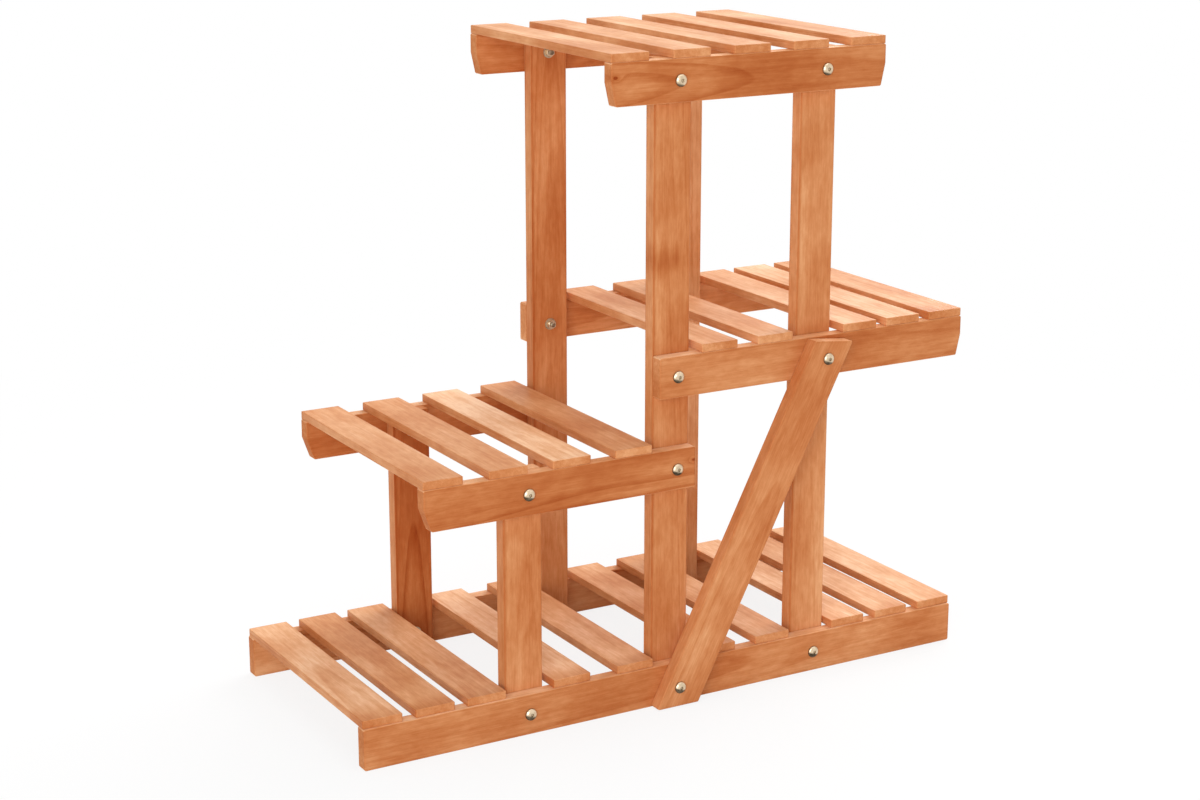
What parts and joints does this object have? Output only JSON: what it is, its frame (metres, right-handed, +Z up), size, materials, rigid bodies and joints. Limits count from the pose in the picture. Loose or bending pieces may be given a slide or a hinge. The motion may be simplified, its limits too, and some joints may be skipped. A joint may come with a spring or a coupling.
{
  "type": "tiered plant stand",
  "caption": "Free-standing stepped stand of bolted wooden boards, with slatted shelves at staggered heights and a diagonal front brace.",
  "frame": {"origin": "on the floor, under the middle of the stand's outline", "axes": "+X along the shelves, from the low step to the tall side; +Y from the braced front to the back; +Z up"},
  "size_m": [0.83, 0.371, 0.7895],
  "materials": {
    "stained_softwood": "orange-brown stain, satin",
    "zinc_plated_steel": "zinc plated, satin",
    "bright_steel": "plain wire"
  },
  "bodies": {
    "root": {"bottom_rail_back": "stained_softwood", "bottom_rail_front": "stained_softwood", "bottom_slat_01": "stained_softwood", "bottom_slat_02": "stained_softwood", "bottom_slat_03": "stained_softwood", "bottom_slat_04": "stained_softwood", "bottom_slat_05": "stained_softwood", "bottom_slat_06": "stained_softwood", "bottom_slat_07": "stained_softwood", "bottom_slat_08": "stained_softwood", "bottom_slat_09": "stained_softwood", "bottom_slat_10": "stained_softwood", "brace_bolts": "zinc_plated_steel", "diagonal_brace": "stained_softwood", "hexagon_nuts": "zinc_plated_steel", "left_leg_back": "stained_softwood", "left_leg_front": "stained_softwood", "left_shelf_rail_back": "stained_softwood", "left_shelf_rail_front": "stained_softwood", "left_shelf_slat_01": "stained_softwood", "left_shelf_slat_02": "stained_softwood", "left_shelf_slat_03": "stained_softwood", "left_shelf_slat_04": "stained_softwood", "middle_leg_back": "stained_softwood", "middle_leg_front": "stained_softwood", "rail_bolts": "zinc_plated_steel", "right_leg_back": "stained_softwood", "right_leg_front": "stained_softwood", "right_shelf_rail_back": "stained_softwood", "right_shelf_rail_front": "stained_softwood", "right_shelf_slat_01": "stained_softwood", "right_shelf_slat_02": "stained_softwood", "right_shelf_slat_03": "stained_softwood", "right_shelf_slat_04": "stained_softwood", "right_shelf_slat_05": "stained_softwood", "slat_pins": "bright_steel", "top_rail_back": "stained_softwood", "top_rail_front": "stained_softwood", "top_slat_01": "stained_softwood", "top_slat_02": "stained_softwood", "top_slat_03": "stained_softwood", "top_slat_04": "stained_softwood", "top_slat_05": "stained_softwood", "washers": "zinc_plated_steel"}
  },
  "joints": []
}
